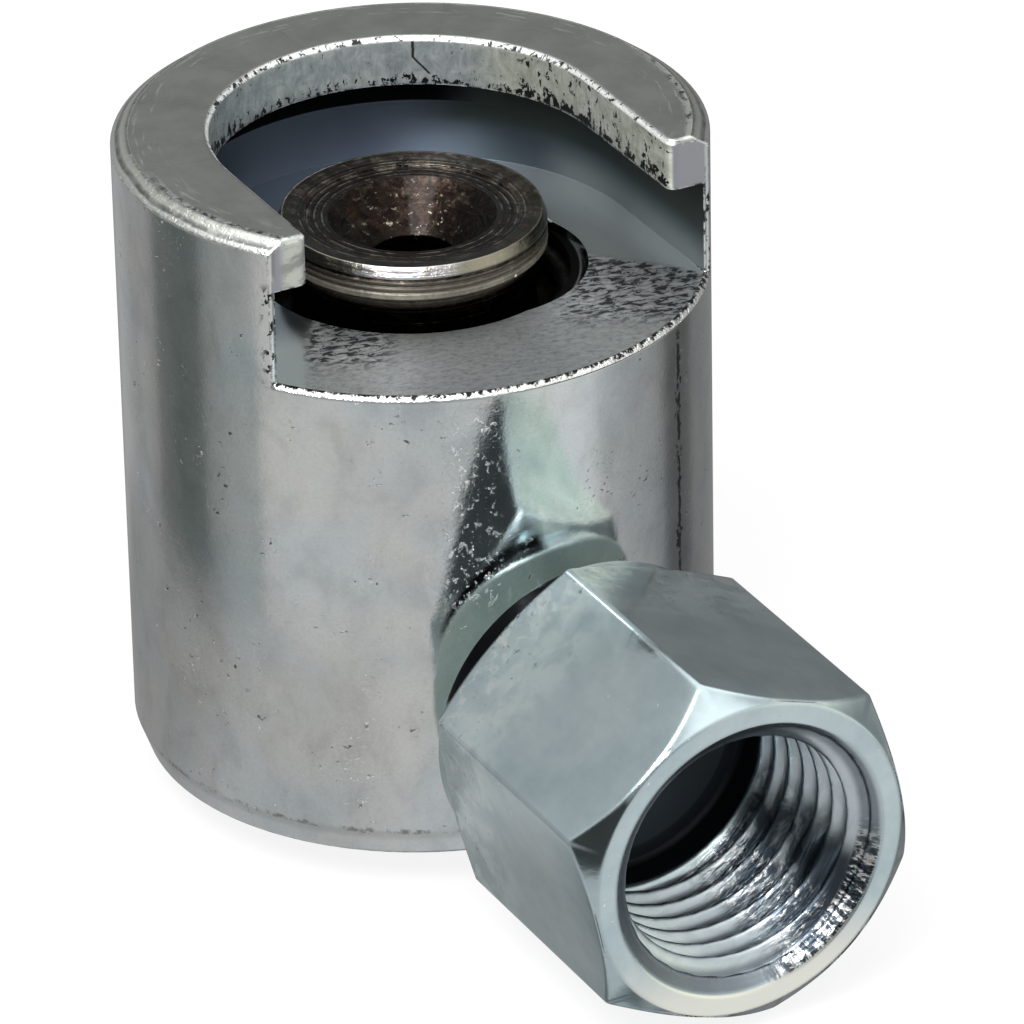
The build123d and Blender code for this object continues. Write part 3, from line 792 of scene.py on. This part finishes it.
materials = {
    "zinc": ZincBody().material,
    "dark": dark_steel(),
    "adapter": plated_adapter(),
    "oiled": simple_material("oiled_ring", (0.010, 0.009, 0.008), (0.035, 0.032, 0.030), 0.35, 1.0),
    "spring": simple_material("spring_steel", (0.16, 0.16, 0.17), (0.34, 0.34, 0.35), 0.3, 1.0),
    "rubber": simple_material("nitrile", (0.02, 0.02, 0.02), (0.05, 0.05, 0.05), 0.55, 0.0),
    "nylon": simple_material("nylon", (0.70, 0.67, 0.58), (0.80, 0.78, 0.70), 0.45, 0.0),
    "copper": simple_material("soft_copper", (0.60, 0.30, 0.18), (0.75, 0.44, 0.28), 0.3, 1.0),
    "bearing": simple_material("bearing_steel", (0.66, 0.66, 0.68), (0.74, 0.74, 0.76), 0.08, 1.0),
}

finish_of_node = {
    "coupler_body": "zinc", "sealing_piston": "dark", "inlet_adapter": "adapter", "snap_ring": "oiled",
    "piston_spring": "spring", "check_spring": "spring", "piston_packing": "rubber", "backup_ring": "nylon",
    "inlet_washer": "copper", "spring_seat": "zinc", "check_retainer": "adapter", "check_ball": "bearing",
}
for name, finish in finish_of_node.items():
    node = nodes[name]
    node.data.materials.clear()
    node.data.materials.append(materials[finish])


# Springs, each shown as a piece of its own

def squeeze_spring(node_name):
    """Shows a spring as a piece of its own, attached to the body, with the original hidden."""
    spring = bpy.data.objects.new(node_name + "_coil", nodes[node_name].data.copy())
    bpy.context.scene.collection.objects.link(spring)
    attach(spring, "body")
    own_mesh(spring)
    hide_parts(node_name)


squeeze_spring("piston_spring")
squeeze_spring("check_spring")


# Inlet adapter with its real thread, built column by column about the inlet's axis, in millimetres

hex_apothem = 8.0
hex_corner_angle = radians(41.6)
hex_corner_radius = 0.35
back_bevel_slope = tan(radians(30))
back_bevel_inset = 0.02
flat_rows = (4, 9)
face_edge_round = 0.12
# Shares of the face's rounding that the front bevel's two edges are tucked in by
bevel_outer_tuck = 0.3
bevel_inner_tuck = 0.2
collar_edge_round = 0.1
neck_seat = 12.7
spigot_radius = 4.4
spigot_end = 9.3
spigot_chamfer = 0.3
ball_chamber_radius = 2.6
ball_seat_land = 0.54
ball_seat_radius = 1.3
relief_edge_round = 0.2
thread_depth = 0.86
crest_share = 0.07
thread_rounding = 0.14
thread_pitch = 1.337
grease_angle = radians(-30)
grease_distance = 27.2
grease_spread = radians(16)
grease_length = 8
grease_fill = 0.75
drill_angle = radians(59)
mouth_radius = 6.8
mouth_slope = 1.1
hex_sides = 6
rows_per_pitch = 18
columns_per_flat = 34
columns_per_corner = 8
weld_distance = 0.0005
shortest_edge = 0.0002
sharp_angle = radians(32)
side_angle = 2 * pi / hex_sides
# From the middle of a flat to where the corner's rounding starts
flat_half_angle = atan((hex_apothem - hex_corner_radius) * tan(side_angle / 2) / hex_apothem)


def hex_reach(angle):
    """Distance from the inlet's axis to the hexagon's rounded outline."""
    from_corner = (angle - hex_corner_angle + side_angle / 2) % side_angle - side_angle / 2
    from_flat = side_angle / 2 - abs(from_corner)
    if from_flat <= flat_half_angle:
        return hex_apothem / cos(from_flat)
    corner_centre = (hex_apothem - hex_corner_radius) / cos(side_angle / 2)
    across = corner_centre * sin(from_corner)
    return corner_centre * cos(from_corner) + sqrt(hex_corner_radius ** 2 - across ** 2)


def column_angles():
    """Angles of the columns: even on each flat and close together round each corner."""
    half_corner = side_angle / 2 - flat_half_angle
    angles = []
    for side in range(hex_sides):
        corner = hex_corner_angle + side * side_angle
        for step in range(columns_per_corner):
            angles.append(corner - half_corner + 2 * half_corner * step / columns_per_corner)
        for step in range(columns_per_flat):
            angles.append(corner + half_corner + 2 * flat_half_angle * step / columns_per_flat)
    angles.append(angles[0] + 2 * pi)
    return angles


def thread_radius(distance, angle):
    """Bore radius of the thread: straight flanks between rounded crests and roots, partly filled with grease."""
    phase = (distance / thread_pitch - angle / (2 * pi)) % 1.0
    flank = 1 - abs(2 * phase - 1)
    eased = min(max((flank - crest_share) / (1 - 2 * crest_share), 0.0), 1.0)
    if eased < thread_rounding:
        shape = eased ** 2 / (2 * thread_rounding)
    elif eased < 1 - thread_rounding:
        shape = eased - thread_rounding / 2
    else:
        shape = 1 - thread_rounding - (1 - eased) ** 2 / (2 * thread_rounding)
    turned = (angle - grease_angle + pi) % (2 * pi) - pi
    from_grease = hypot(turned, (distance - grease_distance) / grease_length)
    filled = grease_fill * exp(-(from_grease / grease_spread) ** 2)
    return thread_minor_radius + thread_depth * shape / (1 - thread_rounding) * (1 - filled)


def thread_profile(angle):
    """(distance, radius) points down the thread from the mouth, turned with the angle so that rows follow it."""
    row_height = thread_pitch / rows_per_pitch
    lead = thread_pitch * (1 - (angle - hex_corner_angle) / (2 * pi))
    first = hex_face - face_edge_round
    rows = int((first - thread_end) / row_height) + 2 * rows_per_pitch
    profile = []
    for row in range(1, rows):
        distance = min(max(first + lead - row * row_height, thread_end), first)
        countersink = mouth_radius - (first - distance) * mouth_slope
        profile.append((distance, max(thread_radius(distance, angle), countersink)))
    return profile


def adapter_profile(angle):
    """(distance, radius) points from the ball chamber's mouth, over the outside, and back down the bore."""
    reach = hex_reach(angle)
    bevel_start = hex_face - (reach - hex_apothem)
    back_bevel_end = hex_back + (reach - hex_apothem + back_bevel_inset) * back_bevel_slope
    cone = (thread_minor_radius - ball_seat_radius) / tan(drill_angle)
    seat = relief_end - cone - ball_seat_land
    return [
        (spigot_end, ball_chamber_radius),
        (spigot_end, spigot_radius - spigot_chamfer),
        (spigot_end + spigot_chamfer, spigot_radius),
        (neck_seat, spigot_radius),
        (neck_seat, neck_radius),
        (collar_back, neck_radius),
        (collar_back, collar_radius - collar_edge_round),
        (collar_back + collar_edge_round, collar_radius),
        (hex_back, collar_radius),
        (hex_back, hex_apothem - back_bevel_inset),
        (back_bevel_end, reach),
        *((hex_back + distance, reach) for distance in flat_rows),
        (bevel_start - face_edge_round, reach),
        (bevel_start, reach - bevel_outer_tuck * face_edge_round),
        (hex_face - face_edge_round, hex_apothem - bevel_inner_tuck * face_edge_round),
        (hex_face, hex_apothem - face_edge_round),
        (hex_face, mouth_radius + face_edge_round),
        (hex_face - face_edge_round, mouth_radius),
        *thread_profile(angle),
        (thread_end, relief_radius),
        (relief_end + relief_edge_round, relief_radius),
        (relief_end, relief_radius - relief_edge_round),
        (relief_end, thread_minor_radius),
        (relief_end - cone, ball_seat_radius),
        (seat, ball_seat_radius),
        (seat - (ball_chamber_radius - ball_seat_radius), ball_chamber_radius),
        (spigot_end, ball_chamber_radius),
    ]


def build_adapter():
    """Joins the columns into one closed mesh."""
    mesh = bmesh.new()
    columns = []
    for angle in column_angles():
        column = []
        for distance, radius in adapter_profile(angle):
            across = inlet_x + radius * cos(angle)
            place = (across * MM, -distance * MM, (inlet_level + radius * sin(angle)) * MM)
            column.append(mesh.verts.new(place))
        columns.append(column)
    for left, right in zip(columns, columns[1:]):
        for row in range(len(left) - 1):
            mesh.faces.new((left[row], left[row + 1], right[row + 1], right[row]))
    bmesh.ops.remove_doubles(mesh, verts=mesh.verts, dist=weld_distance * MM)
    bmesh.ops.dissolve_degenerate(mesh, edges=mesh.edges, dist=shortest_edge * MM)
    bmesh.ops.recalc_face_normals(mesh, faces=mesh.faces)
    data = bpy.data.meshes.new("threaded_adapter")
    mesh.to_mesh(data)
    mesh.free()
    data.shade_smooth()
    data.set_sharp_from_angle(angle=sharp_angle)
    data.materials.append(materials["adapter"])
    adapter = bpy.data.objects.new("threaded_adapter", data)
    bpy.context.scene.collection.objects.link(adapter)
    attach(adapter, "body")
    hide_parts("inlet_adapter")


build_adapter()


# Studio: pale floor, and a soft room whose walls are lighter and darker round the object

floor_size = 3.0
floor_gap = 0.02 * MM
# How far the camera sees the floor as plain white instead of lit
floor_whiteness = 0.86
# Where the light table round the object's left side ends, in millimetres from its axis
table_reach = (31.0, 42.0)

# What the object mirrors: (degrees round from the front, counted towards +X, brightness).
# Below the horizon
low_room = [
    (-180, 0.40), (-168, 0.33), (-158, 0.35), (-148, 0.27), (-145.5, (0.165, 0.175, 0.175)),
    (-131, (0.118, 0.136, 0.134)), (-119, (0.128, 0.146, 0.143)), (-116.5, (0.225, 0.245, 0.250)),
    (-106, (0.310, 0.335, 0.340)), (-91.5, (0.365, 0.390, 0.395)), (-89.5, 0.56), (-78, 0.60), (-24, 0.58),
    (10, 0.62), (24, 0.74), (33, 0.76), (42, 0.72), (51, 0.50), (62, 0.39), (73, 0.35), (82, 0.28), (87, 0.13),
    (95, 0.11), (104, 0.125), (108, 0.20), (124, 0.22), (153, 0.25), (172, 0.40), (180, 0.40),
]
# Above it
high_room = [
    (-180, 0.36), (-152, 0.48), (-120, 0.60), (-60, 0.80), (0, 0.90), (60, 0.70), (120, 0.33), (142, 0.23),
    (155, 0.25), (180, 0.36),
]
# Near it, where the hexagon's flats and the body mirror each other
level_room = [
    (-180, 0.36), (-152, 0.42), (-110, 0.45), (-78, 0.35), (-62, 0.05), (-6, 0.05), (10, 0.45),
    (30, (1.02, 1.05, 0.92)), (60, (0.95, 0.96, 0.86)), (90, 0.32), (120, 0.26), (142, 0.22), (155, 0.24),
    (180, 0.36),
]
# On the table close to the object's left side
near_table = [
    (-160, 0.27), (-121, 0.31), (-109, 0.325), (-101, 0.34), (-92, 0.40), (-84, 0.46), (-77, 0.48), (-45, 0.50),
]
overhead_brightness = 1.5
strip_turn = radians(-24)
strip_half_width = radians(7)
strip_brightness = 2.6
# Heights, as the sine of the angle above the horizon, over which one part of the room fades into the next
low_to_level = (-0.32, -0.18)
level_to_high = (0.30, 0.37)
strip_bottom = (0.31, 0.37)
high_to_overhead = (0.62, 0.85)


def build_floor():
    """Floor that looks white, and that the object mirrors as a light table only at its left side."""
    lowest = cad_box[0][2]
    bpy.ops.mesh.primitive_plane_add(size=floor_size, location=(0, 0, lowest - floor_gap))
    floor_object = bpy.context.object
    floor_object.name = "floor"
    material, s = new_material("pale_floor")
    path = s.add("LightPath")
    point, x, y, _ = s.place()
    white = s.ramp(s.noise(point, 0.4, 3.0), [(0.3, 0.90), (0.7, 0.93)])
    lit = s.add("BsdfDiffuse", {"Color": white}).outputs[0]
    glow = s.add("Emission", {"Color": (1, 1, 1), "Strength": 1.0}).outputs[0]
    whiteness = s.product(path.outputs["Is Camera Ray"], floor_whiteness)
    seen = s.add("MixShader", {0: whiteness, 1: lit, 2: glow}).outputs[0]

    turn = s.turn(x, y)
    table = s.round_ramp(s.share_of_turn(turn), near_table)
    left_side = s.sector(turn, -28, -50, -155, -170)
    near = s.product(left_side, s.span(s.length(x, y), table_reach[1], table_reach[0]))
    clear = s.add("BsdfTransparent").outputs[0]
    table_light = s.add("Emission", {"Color": table, "Strength": 1.0}).outputs[0]
    mirrored = s.add("MixShader", {0: near, 1: clear, 2: table_light}).outputs[0]
    shiny = s.larger(path.outputs["Is Glossy Ray"], path.outputs["Is Transmission Ray"])
    final = s.add("MixShader", {0: shiny, 1: seen, 2: mirrored}).outputs[0]
    s.add("OutputMaterial", {"Surface": final})
    floor_object.data.materials.append(material)


def build_room():
    """World that the camera sees as white, and the object as a room with a bright ceiling and strip."""
    world = bpy.data.worlds.new("room")
    bpy.context.scene.world = world
    s = Shader(world)
    direction = s.add("TexCoord").outputs["Generated"]
    x, y, height = s.add("SeparateXYZ", {0: direction}).outputs
    turn = s.turn(x, y)
    share = s.share_of_turn(turn)
    low = s.round_ramp(share, low_room)
    high = s.round_ramp(share, high_room)
    level = s.round_ramp(share, level_room)
    walls = s.blend(s.span(height, *low_to_level), low, level)
    walls = s.blend(s.span(height, *level_to_high), walls, high)
    aside = s.distance(turn, strip_turn)
    across_strip = s.span(aside, strip_half_width, strip_half_width / 2)
    walls = s.cover(walls, (strip_brightness,) * 3, across_strip, s.span(height, *strip_bottom))
    room = s.blend(s.span(height, *high_to_overhead), walls, (overhead_brightness,) * 3)
    camera = s.add("LightPath").outputs["Is Camera Ray"]
    colour = s.blend(camera, room, (1, 1, 1))
    background = s.add("Background", {"Color": colour, "Strength": 1.0})
    s.add("OutputWorld", {"Surface": background.outputs[0]})


def add_lamp(name, place, size, watts, aim):
    """Square lamp at a place, turned towards its aim, all in millimetres."""
    data = bpy.data.lights.new(name, "AREA")
    data.size = size * MM
    data.energy = watts
    lamp = bpy.data.objects.new(name, data)
    lamp.location = Vector(place) * MM
    lamp.rotation_euler = (Vector(aim) * MM - lamp.location).to_track_quat("-Z", "Y").to_euler()
    bpy.context.scene.collection.objects.link(lamp)


build_floor()
build_room()
add_lamp("key_light", place=(-140, -120, 260), size=160, watts=0.9, aim=(0, -8, 14))

bpy.context.scene.view_settings.view_transform = "Standard"


bpy.context.view_layer.update()
